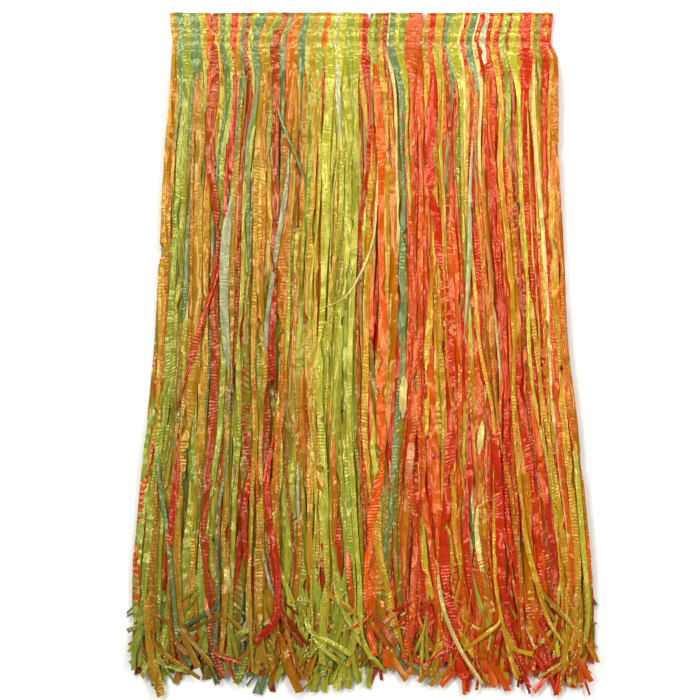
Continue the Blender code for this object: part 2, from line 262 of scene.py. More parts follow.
links.new(shader.outputs["BSDF"], film.inputs[1])
links.new(glow.outputs["BSDF"], film.inputs[2])
links.new(film.outputs["Shader"], nodes["Material Output"].inputs["Surface"])


def wander(draw, places, wavelength, size):
    """Smooth random numbers along a strand, of that usual size."""
    at = places / wavelength + draw.uniform(0, 1)
    knots = draw.normal(0, 1, int(at.max()) + 3)
    before = at.astype(int)
    share = at - before
    share = share * share * (3 - 2 * share)
    return size * (knots[before] * (1 - share) + knots[before + 1] * share)


def ease(places, start, end):
    """0 up to start, 1 from end on, and smooth between."""
    share = np.clip((places - start) / (end - start), 0, 1)
    return share * share * (3 - 2 * share)


def smooth_route(points, step):
    """Points a step apart on a smooth curve through the given points, and how far along each is."""
    points = np.asarray(points, float)
    lengths = np.linalg.norm(np.diff(points, axis=0), axis=1)
    at = np.concatenate([[0], np.cumsum(lengths)])
    slopes = np.empty_like(points)
    chords = np.diff(points, axis=0) / lengths[:, None]
    slopes[1:-1] = (chords[:-1] * lengths[1:, None] + chords[1:] * lengths[:-1, None]) / (
        lengths[1:, None] + lengths[:-1, None]
    )
    slopes[0], slopes[-1] = chords[0], chords[-1]
    places = np.linspace(0, at[-1], max(int(at[-1] / step), 4) + 1)
    k = np.clip(np.searchsorted(at, places, side="right") - 1, 0, len(lengths) - 1)
    h = lengths[k][:, None]
    t = ((places - at[k]) / lengths[k])[:, None]
    route = (2 * t**3 - 3 * t**2 + 1) * points[k] + (t**3 - 2 * t**2 + t) * h * slopes[k]
    route += (3 * t**2 - 2 * t**3) * points[k + 1] + (t**3 - t**2) * h * slopes[k + 1]
    return route, places


def strip_frame(route, drop, roll):
    """Which way a strip runs, which way its width lies and which way it faces, all along its route."""
    along = np.gradient(route, axis=0)
    along /= np.linalg.norm(along, axis=1)[:, None]
    side = np.cross((0, 0, 1.0), along)
    flat = np.linalg.norm(side, axis=1)[:, None]
    upright = (1.0 if along[-1, 1] < 0 else -1.0, 0, 0)
    side = np.where(flat > 0.2, side / np.maximum(flat, 1e-9), upright)
    side[:, 1] *= ease(drop, 6 * MM, 40 * MM)
    side /= np.linalg.norm(side, axis=1)[:, None]
    up = np.cross(along, side)
    level, tipped = np.cos(roll)[:, None], np.sin(roll)[:, None]
    return along, side * level + up * tipped, up * level - side * tipped


def wrinkles(draw, places, widths, reach, ripple, crumple, slack):
    """The heights of a strip's creases, ripples, uneven spots and dents. reach is -1 at one edge and 1 at the
    other.
    """
    ridge = draw.uniform(-0.5, 0.5) + wander(draw, places, 110 * MM, 0.25)
    depth = CREASE * widths * slack * (1 + wander(draw, places, 70 * MM, 0.8))
    height = depth[:, None] * (0.5 - np.abs(reach - ridge[:, None]))
    bands = (0.2 + wander(draw, places, 45 * MM, 0.75)).clip(0.03, 1.6) * ripple
    zigzag = np.where(np.arange(len(places)) % 2, 1.0, -1.0) * draw.uniform(-0.1, 1.5, len(places))
    height += (bands * zigzag)[:, None] * (1 + draw.normal(0, 0.4, reach.shape))
    height += draw.normal(0, 1, reach.shape) * crumple[:, None]
    for _ in range(draw.poisson(places[-1] / DENT_EVERY)):
        turn, size = draw.uniform(-1.25, 1.25), draw.uniform(*DENT_MM) * MM
        off = (places - draw.uniform(0, places[-1]))[:, None] * math.cos(turn)
        off = np.abs(off + reach * (widths / 2)[:, None] * math.sin(turn)) / size
        height += draw.normal(0, DENT_DEPTH) * (1 - off).clip(0) * slack[:, None]
    return height


class Films:
    """Strips of film gathered into one piece."""

    def __init__(self):
        self.points, self.faces, self.runs, self.dyes, self.rings = [], [], [], [], []
        self.count = self.ring_count = 0

    def add(self, draw, route, places, widths, dye, across, roll, ripple, crumple, slant=0.0, flaps=()):
        """Adds a strip. ripple and crumple are the heights of its regular and uneven wrinkles, slant is how its
        end is cut, and flaps are where an edge is folded over: place, length and side.
        """
        count, drop = len(route), fold_y - route[:, 1]
        roll, ripple, crumple = np.zeros(count) + roll, np.zeros(count) + ripple, np.zeros(count) + crumple
        along, side, up = strip_frame(route, drop, roll)
        reach = np.linspace(-1, 1, across)[None, :] + np.zeros((count, 1))
        calm = crumple / crumple.max()
        slack = calm * (LEAST_SLACK + (1 - LEAST_SLACK) * ease(drop, *STITCHED_FLAT))
        height = wrinkles(draw, places, widths, reach, ripple, crumple, slack)
        for place, length, hand in flaps:
            fold = 1.1 - draw.uniform(0.5, 1.2) * (1 - np.abs(places - place) / (length / 2)).clip(0, 1)
            over = reach * hand > fold[:, None]
            reach = np.where(over, hand * (2 * fold[:, None] - reach * hand), reach)
            height += np.where(over, FLAP_LIFT, 0)
        spot = reach * (widths / 2 + draw.normal(0, 0.5, count) * crumple)[:, None]
        points = route[:, None, :] + side[:, None, :] * spot[:, :, None] + up[:, None, :] * height[:, :, None]
        lean = wander(draw, places, 30 * MM, 0.35) * ripple / ripple.max()
        lean[-1] = slant
        jitter = draw.uniform(-0.25, 0.25, count) * places[1] * calm
        points += along[:, None, :] * (lean[:, None] * spot + jitter[:, None])[:, :, None]
        points[:, :, 2] = np.maximum(points[:, :, 2], OFF_FLOOR)
        self.points.append(points.reshape(-1, 3))
        corners = np.arange(count - 1)[:, None] * across + np.arange(across - 1)[None, :] + self.count
        quads = np.stack([corners, corners + 1, corners + across + 1, corners + across], -1)
        self.faces.append(quads.reshape(-1, 4))
        shift = draw.uniform(0, 40, 2)  # so that no two strips have the same marks
        flat_spot = np.linspace(-1, 1, across)[None, :] * widths[:, None] / 2
        run = np.stack(np.broadcast_arrays(places[:, None] + shift[0], flat_spot + shift[1]), -1)
        self.runs.append(run.reshape(-1, 2))
        shade = 1 + wander(draw, places, 45 * MM, 0.06)
        # painted shade: the film's colour darkens towards the hem, where the strands lie thickest and shade
        # each other
        for darker, drops, above in LEFT_TONE_AND_PAINTED_SHADE:
            shade *= 1 - np.interp(route[:, 0], SHADE_X, darker) * (above + (1 - above) * ease(drop, *drops))
        self.dyes.append((dye[None, :] * np.repeat(shade, across)[:, None]).clip(0, 1))
        self.rings.append(np.repeat(np.arange(count) + self.ring_count, across))
        self.count += count * across
        self.ring_count += count

    def piece(self, name):
        return mesh_piece(
            name,
            np.concatenate(self.points),
            np.concatenate(self.faces),
            raffia,
            np.concatenate(self.runs),
            np.concatenate(self.dyes),
            np.concatenate(self.rings),
        )


# The folded heads
# Each strand is folded over at the waist and caught by two rows of stitching, at the upper and the lower
# edge of the elastic. The heads lie side by side, and some lean. In three places the fold is parted.
UPPER_ROW, LOWER_ROW = 20 * MM, 37 * MM  # the rows of stitching, below the fold
INNER_END = 34 * MM  # the inside of a fold is drawn down to here
FRONT_HEADS = (
    # dye and share of the width of each head and each gap at the fold, from left to right
    "gold 4.5, grey_green 5.5, leaf 10, grey_green 8, lime 7, orange 4, gap 2.5, rust 4, gold 4, grey_green 3",
    "leaf 9, red 7, gold 3, grey_green 3, rust 5, lime 7, grey_green 11, gold 7, leaf 7, rust 5, gold 2",
    "grey_green 3, orange 5, amber 4, grey_green 9, lime 5, gold 4, leaf 7, orange 3, lime 7, silver 4, lime 8",
    "leaf 6, lime 3, gold 3, red 6, gap 5, leaf 5, olive 3, gold 4, rust 3, straw 2, grey_green 5, lime 7",
    "leaf 6, orange 15, gap 4.5, gold 4, red 4, lime 4, gold 4, rust 4, grey_green 2, leaf 5, lime 10, straw 2",
    "red 2, gold 3, grey_green 8, straw 2, red 4, silver 3, red 7, gold 4, red 3, leaf 7, rust 4, lime 5",
    "gold 4, red 10, gold 4, olive 4, red 5, gold 2, red 4",
)
GAP_DEEP = 20 * MM  # the heads close up again about so far below the fold
GAP_LAP = 5 * MM  # and there lie over each other so far
HEAD_WIDER, HEAD_LAP = 1.12, 2.5 * MM  # heads are wider than their share of the waist, and overlap
DRAWN_IN, DRAWN_IN_OVER = 0.05, 2.5 * MM  # a row of stitching narrows the heads so much, over that height
LEANS = (
    # share of the waist from the left, and how far the folds there lean to the right, in mm
    (0, -3),
    (0.05, -1),
    (0.16, 2),
    (0.23, 8),
    (0.29, 15),
    (0.34, 6),
    (0.42, 6),
    (0.5, 1),
    (0.57, 3),
    (0.64, 1),
    (0.76, 5),
    (0.8, 9),
    (0.84, 5),
    (0.9, 8),
    (0.94, 1),
    (1, 3),
)
waist_left = waist_x - turn_x - fold_z
waist_width = 2 * (turn_x + fold_z)


def head_row(words):
    """Scales the heads and gaps to fill the waist. Returns each head's dye, left and right edge, with half of
    the gap beside it, and each gap's middle and half width.
    """
    heads = [item.split() for item in ", ".join(words).split(", ")]
    widths = np.array([float(width) for _, width in heads])
    widths *= waist_width / widths.sum()
    edges = waist_left + np.concatenate([[0], np.cumsum(widths)])
    kinds = [dye for dye, _ in heads]
    gaps = [((edges[k] + edges[k + 1]) / 2, widths[k] / 2) for k, kind in enumerate(kinds) if kind == "gap"]
    for middle, half in gaps:
        edges[np.abs(edges - middle) < 1.01 * half] = middle
    return [(kind, edges[k], edges[k + 1]) for k, kind in enumerate(kinds) if kind != "gap"], gaps


front_row, fold_gaps = head_row(FRONT_HEADS)


def leaning(x):
    """How far a fold at that place leans to the right."""
    return np.interp((x - waist_left) / waist_width, *zip(*LEANS)) * MM


def fold_over(draw, head, outer_z, inner_z, proud):
    """The middle line of one head: up the inside, over the fold and down the outside to the lower stitching."""
    middle = (head[1] + head[2]) / 2
    lean = (leaning(head[1]) + leaning(head[2])) / 2 + draw.normal(0, 0.3 * MM)
    out = 1 if outer_z > inner_z else -1
    top = outer_z + out * proud
    fold_mid = (outer_z + inner_z) / 2
    rise = draw.uniform(-1.2, 0.5) * MM
    drops_and_heights = (
        # below the fold, and above the floor
        (INNER_END, inner_z),
        (14 * MM, inner_z),
        (3 * MM, inner_z),
        (0.4 * MM, inner_z + 0.3 * (fold_mid - inner_z)),
        (-rise, fold_mid),
        (0.4 * MM, top - 0.3 * (top - fold_mid)),
        (3 * MM, top),
        (12 * MM, top + out * 0.6 * MM),
        (UPPER_ROW, top - out * 0.4 * MM),
        (28 * MM, top + out * 0.8 * MM),
        (LOWER_ROW, top - out * 0.5 * MM),
    )
    line = []
    for drop, z in drops_and_heights:
        line.append((middle - lean * ease(drop, 0, LOWER_ROW), fold_y - drop, max(z, 1.5 * OFF_FLOOR)))
    return line


def head_width(head, places, hang_at):
    """A head's width, drawn in at the stitching and parted at the gaps, and how far the gaps push it aside."""
    _, left, right = head
    middle, drop = (left + right) / 2, places - hang_at + LOWER_ROW
    width = (right - left) - (leaning(right) - leaning(left)) * ease(drop, 0, LOWER_ROW)
    width = np.maximum(width, 0.5 * (right - left)) * HEAD_WIDER + HEAD_LAP
    for row in (UPPER_ROW, LOWER_ROW):
        width *= 1 - DRAWN_IN * np.exp(-(((drop - row) / DRAWN_IN_OVER) ** 2))
    low, high = -width / 2, width / 2
    for gap, half in fold_gaps:
        edge = GAP_LAP - (GAP_LAP + half) * np.exp(-((np.abs(drop) / GAP_DEEP) ** 3))
        if middle < gap:
            high = np.minimum(high, gap - middle + edge)
        else:
            low = np.maximum(low, gap - middle - edge)
    return high - low, (low + high) / 2


# The hanging strands
# Both ends of each folded strand hang down, one outside the elastic and one inside. They spread towards
# the hem, wander over each other and fold over at their edges, and their cut ends split and turn aside.
FIRST_LEVEL = 41 * MM  # the solids' strands run level from further than this below the fold
TUCKED_IN = 26 * MM  # a strand without a head of its own begins so far below the fold, under the others
STEP = {"outer": RIPPLE / 2, "thin": RIPPLE / 2, "inner": 3.6 * MM, "back": 6 * MM, "split": 3 * MM}
ACROSS = {"outer": 6, "thin": 4, "inner": 5, "back": 4, "split": 3}  # points across a strand
WRINKLE = {"outer": 0.26 * MM, "thin": 0.18 * MM, "inner": 0.3 * MM, "back": 0.3 * MM, "split": 0.06 * MM}
UNEVEN, UNEVEN_LOOSE = 0.14 * MM, 0.1 * MM  # in the heading, and where the strands hang loose
NARROWEST, WIDEST = 2.2 * MM, 11 * MM
BY_THE_ELASTIC = (7 * MM, 14 * MM)  # strands at these heights hang inside the elastic
ZONES = (
    # the share of the waist from the left at which the zone ends, and how many strands there have each dye
    (
        0.33,
        {"lime": 6.5, "leaf": 4.5, "olive": 8, "grey_green": 0.9, "gold": 4.5, "amber": 3, "orange": 1.2}
        | {"rust": 3, "red": 1.9, "straw": 0.9},
    ),
    (
        0.52,
        {"lime": 10, "leaf": 2, "olive": 5.3, "gold": 5.7, "amber": 3, "orange": 1.5, "rust": 1.5}
        | {"straw": 1},
    ),
    (
        0.92,
        {"orange": 9.5, "red": 10, "gold": 2, "amber": 6, "rust": 1.5, "olive": 0.7, "lime": 0.3}
        | {"straw": 0.3},
    ),
    (math.inf, {"gold": 4, "lime": 1.5, "olive": 1, "orange": 6, "amber": 2.5, "red": 1, "straw": 1.5}),
)
SLIP_UNDER = 7 * MM  # a strand that slips under the others goes down so far
COMMON = 2  # a dye with this many strands or more is common in its zone


def solid_strands(node):
    """The strands of a solid: for each, its middle points below the stitching, its widths and height."""
    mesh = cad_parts[node].data
    points = np.array([v.co for v in mesh.vertices])
    home_of, members = {}, {}
    for number, face in enumerate(mesh.polygons):
        corners = points[list(face.vertices)]
        level = np.ptp(corners[:, 2]) < 0.001 * MM and face.normal.z > 0.9
        if not level or corners[:, 1].max() > fold_y - FIRST_LEVEL:
            continue
        keys = {tuple(np.round(corner, 5)) for corner in corners}
        members[number] = keys
        for other in {home_of[key] for key in keys if key in home_of}:
            members[number] |= members.pop(other)
        home_of.update(dict.fromkeys(members[number], number))
    strands = []
    for corners in members.values():
        corners = np.array(sorted(corners, key=lambda corner: -corner[1]))
        left, right = corners[0::2], corners[1::2]
        strands.append(((left + right) / 2, np.linalg.norm(right - left, axis=1)))
    return sorted(strands, key=lambda strand: strand[0][0][0])


def solids_outline(drops):
    """The left and right edges of the solids at those drops below the fold."""
    lefts, rights = np.full(len(drops), np.inf), np.full(len(drops), -np.inf)
    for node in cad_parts:
        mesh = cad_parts[node].data
        points = np.array([v.co for v in mesh.vertices])
        ends = points[np.array([edge.vertices[:] for edge in mesh.edges])]
        for k, drop in enumerate(drops):
            above = ends[:, :, 1] > fold_y - drop
            cut = ends[above[:, 0] != above[:, 1]]
            if len(cut):
                share = (fold_y - drop - cut[:, 0, 1]) / (cut[:, 1, 1] - cut[:, 0, 1])
                x = cut[:, 0, 0] + share * (cut[:, 1, 0] - cut[:, 0, 0])
                lefts[k], rights[k] = min(lefts[k], x.min()), max(rights[k], x.max())
    return lefts, rights


OUTLINE_DROPS = np.arange(90 * MM, 790 * MM, 25 * MM)
left_edge, right_edge = solids_outline(OUTLINE_DROPS)
SIDE_BULGE = 8 * MM  # the strands at the right spring out so far below the heading
BULGE_FROM, BULGE_TO = (36 * MM, 58 * MM), (60 * MM, 170 * MM)  # below the fold
BULGE_X = (30 * MM, 6 * MM)  # from the heading's right end, where it sets in and where it is full


def keep_in(route, width):
    """Keeps a strand inside the skirt's outline below the heading, and lets those at the right bulge there."""
    drop, moved = fold_y - route[:, 1], route.copy()
    left = np.interp(drop, OUTLINE_DROPS, left_edge) + width / 2
    right = np.interp(drop, OUTLINE_DROPS, right_edge) - width / 2
    moved[:, 0] += ease(drop, 60 * MM, 120 * MM) * (np.clip(route[:, 0], left, right) - route[:, 0])
    bulge = ease(drop, *BULGE_FROM) * (1 - ease(drop, *BULGE_TO))
    waist_right = waist_left + waist_width
    moved[:, 0] += SIDE_BULGE * bulge * ease(moved[:, 0], waist_right - BULGE_X[0], waist_right - BULGE_X[1])
    return moved


def mix_at(x):
    """The mix of dyes in the zone of the skirt at that place."""
    share = (x - waist_left) / waist_width
    return next(mix for end, mix in ZONES if share < end)


def zone_dye(draw, x):
    """A dye from the mix at that place."""
    mix = mix_at(x)
    weights = np.array(list(mix.values()), float)
    return str(draw.choice(list(mix), p=weights / weights.sum()))


def common_here(dye, x):
    """Whether a dye is a common one at that place."""
    return mix_at(x).get(dye, 0) >= COMMON


def split_ends(films, draw, route, places, width, shade, kind):
    """Adds the slivers that split from a strand towards its cut end and turn aside."""
    for _ in range(draw.poisson(2.4 if kind == "outer" else 1.3)):
        start = np.searchsorted(places, places[-1] - draw.uniform(30, 95) * MM)
        length = (places[-1] - places[start]) * draw.uniform(0.5, 1.1)
        at = np.arange(0, length, STEP["split"])
        heading = route[start + 1] - route[start - 1]
        turn = np.clip(draw.normal(0, 0.7), -1.1, 1.1) * ease(at, 0, 0.35 * length)
        turn += math.atan2(heading[0], -heading[1])
        sliver = np.cumsum(np.column_stack([np.sin(turn), -np.cos(turn), 0 * at]), axis=0) * STEP["split"]
        sliver += route[start] + (draw.uniform(-0.4, 0.4) * width, 0, draw.uniform(-0.8, 1.2) * MM)
        waver = wander(draw, at, 40 * MM, 0.5 * MM)
        sliver[:, 2] += waver - ease(at, 0.4 * length, length) * draw.uniform(-2, 4) * MM
        kept = sliver[:, 1] > solids_box[0][1] + 2 * MM
        kept &= np.abs(sliver[:, 0]) < solids_box[1][0]
        if kept.sum() > 6:
            sliver, at = sliver[: kept.sum()], at[: kept.sum()]
            films.add(
                draw,
                sliver,
                at,
                draw.uniform(3.0, 6.5) * MM * (0.6 + 0.4 * ease(at, 0, 25 * MM)),
                shade * draw.uniform(0.65, 1.1),
                ACROSS["split"],
                wander(draw, at, 50 * MM, 0.4),
                WRINKLE["split"],
                WRINKLE["split"],
                draw.uniform(-0.6, 0.6),
            )


def hang(films, draw, strand, dye, kind, start_z, share=1.0, head=None, fold=()):
    """Adds the visible strand that follows a solid one, from under a head or on from its own head. share is
    its part of the solid's width. A head's dye that is rare lower down soon slips under the other strands.
    """
    middles, widths = strand
    under = (1.4 if start_z < 4.2 * MM else -1.6) * MM
    corners = list(fold) if fold else [(middles[0][0], fold_y - TUCKED_IN, start_z + under)]
    hang_at = sum(math.dist(one, other) for one, other in zip(corners, corners[1:]))
    beside = corners[-1][0] + 0.2 * (middles[0][0] - corners[-1][0])
    rise = 0.2 if fold else 0.05
    corners.append((beside, fold_y - LOWER_ROW - 11 * MM, (1 - rise) * corners[-1][2] + rise * middles[0][2]))
    corners += [tuple(point - (0, 0, 0.5 * MM)) for point in middles]
    route, places = smooth_route(corners, STEP[kind])
    below = places - hang_at
    loose, low = ease(below, 10 * MM, 150 * MM), ease(below, 250 * MM, 760 * MM)
    inward = 1 - 0.75 * ease(np.abs(route[:, 0]), 0.8 * waist_width / 2, waist_width / 2)
    drift = wander(draw, places, 90 * MM, 1.6 * MM) * (1 + 1.4 * low)
    drift += wander(draw, places, 280 * MM, 5.5 * MM) * (1 + 0.4 * low)
    route[:, 0] += loose * inward * drift
    route[:, 2] += loose * wander(draw, places, 60 * MM, 0.5 * MM)
    roll = (0.25 + 0.75 * loose) * (wander(draw, places, 75 * MM, 0.19) + wander(draw, places, 26 * MM, 0.13))
    full = (np.median(widths) * share * draw.lognormal(0.08, 0.25)).clip(NARROWEST, WIDEST)
    gathered, flare = 2 * MM, ease(below, 10 * MM, 90 * MM)
    if head:
        gathered, aside = head_width(head, places, hang_at)
        route[:, 0] += aside
        full = max(full, min(0.6 * gathered[-1] * share, 8.5 * MM))
        roll += draw.normal(0, 0.06) * (1 - loose)
        flare = ease(below, 3 * MM, 80 * MM)
        if share < 1 and kind == "outer":
            route[:, 2] -= SLIP_UNDER * ease(below, 80 * MM, draw.uniform(200, 450) * MM)
    swell = 1 + loose * (wander(draw, places, 120 * MM, 0.14) + wander(draw, places, 30 * MM, 0.07))
    tail = 1 - 0.25 * ease(below, below[-1] - 80 * MM, below[-1])
    width = (gathered + (full - gathered) * flare) * swell.clip(0.5, 1.3) * tail
    flaps = []
    for _ in range(draw.poisson(5.0) if kind == "outer" else draw.poisson(1)):
        place = hang_at + 100 * MM + (below[-1] - 130 * MM) * draw.uniform(0, 1) ** 0.7
        flaps.append((place, draw.uniform(10, 60) * MM, draw.choice((-1, 1))))
    shade, slant = film_colour(dye) * draw.uniform(0.84, 1.1), draw.uniform(-0.6, 0.6)
    across = ACROSS[kind] if not head else int(np.clip(gathered[-1] / (1.5 * MM), 6, 9))
    below_fold = 1 - np.exp(-(((fold_y - route[:, 1]) / (6 * MM)) ** 2))
    ripple = WRINKLE[kind] * loose.clip(0.15)
    crumple = (UNEVEN - (UNEVEN - UNEVEN_LOOSE) * loose) * below_fold
    route = keep_in(route, width)
    films.add(draw, route, places, width, shade, across, roll * below_fold, ripple, crumple, slant, flaps)
    split_ends(films, draw, route, places, full, shade, kind)


def between(one, other, share, lift):
    """A strand that lies between two others, a little over or under both."""
    count = min(len(one[0]), len(other[0]))
    middles = one[0][:count] * (1 - share) + other[0][:count] * share
    level = max(one[0][0][2], other[0][0][2]) if lift > 0 else min(one[0][0][2], other[0][0][2])
    middles[:, 2] = level + lift
    return middles, (one[1][:count] + other[1][:count]) / 2


BACK_LEVEL, FRONT_LEVEL = (0.3 * MM, 3.9 * MM), (8.5 * MM, 4.5 * MM)  # outer and inner face of each heading
BACK_HEADS = 14  # in each hank of the back
NEXT_TO = 6 * MM  # the outermost strands inside have another one so far beside them
INSIDE_SHARE, BACK_SHARE, UNDER_SHARE = 1.9, 1.8, 0.5  # widths, as shares of the solid strand's
back_draw = np.random.default_rng(71)


def head_above(x):
    """The head that a strand hangs below."""
    return next((head for head in front_row if x < head[2]), front_row[-1])


LOOSE_TOP = 22.5 * MM  # the height at which the loose ribbons lie
LOOSE_DIP = 8 * MM  # and how far their ends go down between the others
LOOSE_ENDS = 740  # ribbons that reach further than this below the fold, in mm, end loose at the hem
# The short pale and pinkish ribbons here are painted highlights: bright faces where the film twists to the
# light, laid over the strands as pieces of that colour
LOOSE_RIBBONS = (
    # hank, dye, brightness, width in mm, places in mm right of the waist's middle and below the fold
    ("front_hank_2", "silver", 0.9, 10.5, ((-151, 202), (-160, 245), (-166, 348), (-163, 403), (-157, 460))),
    ("front_hank_2", "silver", 0.7, 5, ((-89, 130), (-90, 202), (-101, 278), (-114, 373), (-121, 494))),
    ("front_hank_4", "silver", 1.1, 4.5, ((136, 130), (131, 215), (129, 318), (124, 397))),
    ("front_hank_2", "grey_green", 1, 3, ((-110, 69), (-102, 117), (-78, 178), (-61, 221))),
    ("front_hank_3", "straw", 0.9, 2.2, ((20, 166), (18, 233), (14, 275), (0, 314), (-21, 346), (-49, 359))),
    ("front_hank_3", "straw", 1, 9, ((53, 438), (50, 462), (50, 492))),
    ("front_hank_3", "painted_red_highlight", 0.95, 8, ((61, 512), (59, 536), (57, 566))),
    ("front_hank_4", "straw", 1, 8, ((146, 495), (144, 512), (142, 536))),
    ("front_hank_1", "red", 0.95, 6)
    + (((-163, 150), (-164, 202), (-170, 301), (-189, 362), (-206, 421), (-223, 483)),),
    ("front_hank_2", "red", 1, 9)
    + (((-104, 500), (-115, 570), (-111, 620), (-101, 691), (-106, 737), (-128, 762)),),
    ("front_hank_2", "red", 0.95, 6, ((-127, 532), (-140, 590), (-141, 640), (-131, 700))),
    ("front_hank_2", "red", 0.85, 6, ((-104, 290), (-106, 350), (-108, 410), (-103, 470))),
    ("front_hank_1", "red", 0.9, 7, ((-222, 510), (-224, 560), (-232, 640), (-240, 700))),
    ("front_hank_1", "grey_green", 1.05, 4.5)
    + (((-246, 494), (-244, 570), (-236, 620), (-227, 707), (-223, 756)),),
    ("front_hank_1", "painted_red_highlight", 1.1, 5, ((-190, 706), (-186, 724), (-180, 738))),
    ("front_hank_2", "straw", 1, 7, ((-163, 662), (-162, 685), (-160, 706))),
    ("front_hank_2", "silver", 1, 3.5, ((-122, 634), (-116, 670), (-108, 700), (-100, 718))),
    ("front_hank_3", "silver", 1.05, 4, ((-77, 541), (-77, 580), (-76, 624))),
    ("front_hank_3", "gold", 0.95, 8, ((-64, 500), (-62, 570), (-63, 640), (-58, 720))),
    ("front_hank_3", "red", 0.85, 4, ((-50, 606), (-48, 660), (-45, 730))),
    ("front_hank_3", "amber", 0.95, 7, ((-38, 470), (-35, 540), (-33, 600), (-36, 680))),
    ("front_hank_3", "red", 0.9, 5, ((-30, 600), (-28, 640), (-24, 690))),
    ("front_hank_3", "orange", 0.85, 6, ((-18, 636), (-14, 690), (-8, 735))),
    ("front_hank_4", "red", 1, 12, ((158, 470), (163, 540), (167, 620), (170, 700), (182, 738))),
    ("front_hank_4", "red", 0.95, 8, ((128, 560), (126, 620), (130, 680), (138, 735))),
    ("front_hank_2", "lime", 1, 6.5, ((-72, 722), (-60, 750), (-36, 763), (-12, 777))),
    ("front_hank_2", "lime", 0.9, 6, ((-62, 742), (-50, 766), (-26, 786))),
    ("front_hank_4", "straw", 0.9, 5, ((90, 664), (100, 725), (121, 774), (146, 812))),
    ("front_hank_5", "lime", 1, 5, ((253, 470), (261, 567), (269, 664), (274, 725), (270, 762))),
)


def loose_ribbon(films, draw, dye, brightness, width, spots):
    """Adds a strand that has drifted over the others. Its upper end comes out from between them."""
    highest, lowest = min(drop for _, drop in spots), max(drop for _, drop in spots)
    ends_loose = lowest > LOOSE_ENDS
    corners = []
    for across_mm, drop in spots:
        dip = LOOSE_DIP if drop == highest or (drop == lowest and not ends_loose) else 0
        corners.append((waist_x + across_mm * MM, fold_y - drop * MM, LOOSE_TOP - dip))
    route, places = smooth_route(corners, STEP["outer"])
    route[:, 2] += wander(draw, places, 60 * MM, 0.3 * MM)
    roll = wander(draw, places, 75 * MM, 0.15) + wander(draw, places, 26 * MM, 0.1)
    swell = (1 + wander(draw, places, 60 * MM, 0.12)).clip(0.7, 1.2)
    swell *= 0.3 + 0.7 * ease(places, 0, 0.3 * places[-1])
    if not ends_loose:
        swell *= 1 - 0.7 * ease(places, 0.7 * places[-1], places[-1])
    shade, slant = film_colour(dye) * brightness, draw.uniform(-0.6, 0.6)
    films.add(draw, route, places, width * MM * swell, shade, 5, roll, 0.16 * MM, 0.1 * MM, slant)


for number, node in enumerate(sorted(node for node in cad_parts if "hank" in node)):
    draw = np.random.default_rng(500 + number)
    front = node.startswith("front")
    outer_z, inner_z = FRONT_LEVEL if front else BACK_LEVEL
    strands = solid_strands(node)
    low_z, high_z = BY_THE_ELASTIC
    inside = [strand for strand in strands if low_z < strand[0][0][2] < high_z]
    outside = [strand for strand in strands if not low_z < strand[0][0][2] < high_z]
    upper_films, under_films = Films(), Films()
    roots = np.array([strand[0][0][0] for strand in outside])
    low_x, high_x = roots.min() - 3 * MM, roots.max() + 3 * MM
    if front:
        heads = [head for head in front_row if low_x <= (head[1] + head[2]) / 2 < high_x]
    else:
        widths = back_draw.uniform(0.5, 1.5, BACK_HEADS)
        edges = low_x + np.concatenate([[0], np.cumsum(widths)]) / widths.sum() * (high_x - low_x)
        edges = sorted([*edges, *(gap for gap, _ in fold_gaps if low_x < gap < high_x)])
        heads = [(zone_dye(back_draw, left), left, right) for left, right in zip(edges, edges[1:])]
    while len(outside) < len(heads):
        widest = max(range(1, len(outside)), key=lambda j: outside[j][0][0][0] - outside[j - 1][0][0][0])
        outside.insert(widest, between(outside[widest - 1], outside[widest], 0.5, 0.3 * MM))
    roots = np.array([strand[0][0][0] for strand in outside])
    hung = {}
    for k, head in enumerate(heads):
        proud = np.interp(head[2] - head[1], (3 * MM, 15 * MM), (1.1 * MM, 0.1 * MM)) + 0.2 * MM * (k % 2)
        fold = fold_over(draw, head, outer_z, inner_z, proud)
        free = [j for j in range(len(outside)) if j not in hung]
        hung[min(free, key=lambda j: abs(roots[j] - fold[-1][0]))] = (head, fold)
    for strand in inside:
        dye_name = zone_dye(draw, strand[0][0][0])
        hang(under_films, draw, strand, dye_name, "inner" if front else "back", inner_z, INSIDE_SHARE)
    first, last = inside[0], inside[-1]
    row = [(first[0] - (NEXT_TO, 0, 0), first[1]), *inside, (last[0] + (NEXT_TO, 0, 0), last[1])]
    for one, other in zip(row, row[1:]):
        dye_name = zone_dye(draw, one[0][0][0])
        lower = between(one, other, 0.5, -0.5 * MM)
        hang(under_films, draw, lower, dye_name, "back", inner_z, INSIDE_SHARE)
    for k, strand in enumerate(outside):
        head, fold = hung.get(k, (None, ()))
        kind, share = ("outer", 1.0) if front else ("back", BACK_SHARE)
        if head:
            share *= 1.0 if common_here(head[0], roots[k]) else UNDER_SHARE
            hang(upper_films, draw, strand, head[0], kind, outer_z, share, head, fold)
        else:
            dye_name = zone_dye(draw, roots[k])
            if front and draw.uniform() < 0.4 and common_here(head_above(roots[k])[0], roots[k]):
                dye_name = head_above(roots[k])[0]
            hang(upper_films, draw, strand, dye_name, kind, outer_z, share)
        if front and k and draw.uniform() < 0.7:
            lift = draw.choice((-0.7, 0.7)) * MM
            narrow = between(outside[k - 1], strand, draw.uniform(0.3, 0.7), lift)
            dye_name = zone_dye(draw, roots[k])
            hang(under_films, draw, narrow, dye_name, "thin", outer_z, draw.uniform(0.25, 0.65))
    for home, *ribbon in LOOSE_RIBBONS:
        if home == node:
            loose_ribbon(upper_films, draw, *ribbon)
    for films, place in ((upper_films, "outer"), (under_films, "inner")):
        raffia_piece = films.piece(node + "_" + place + "_raffia")
        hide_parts(node)

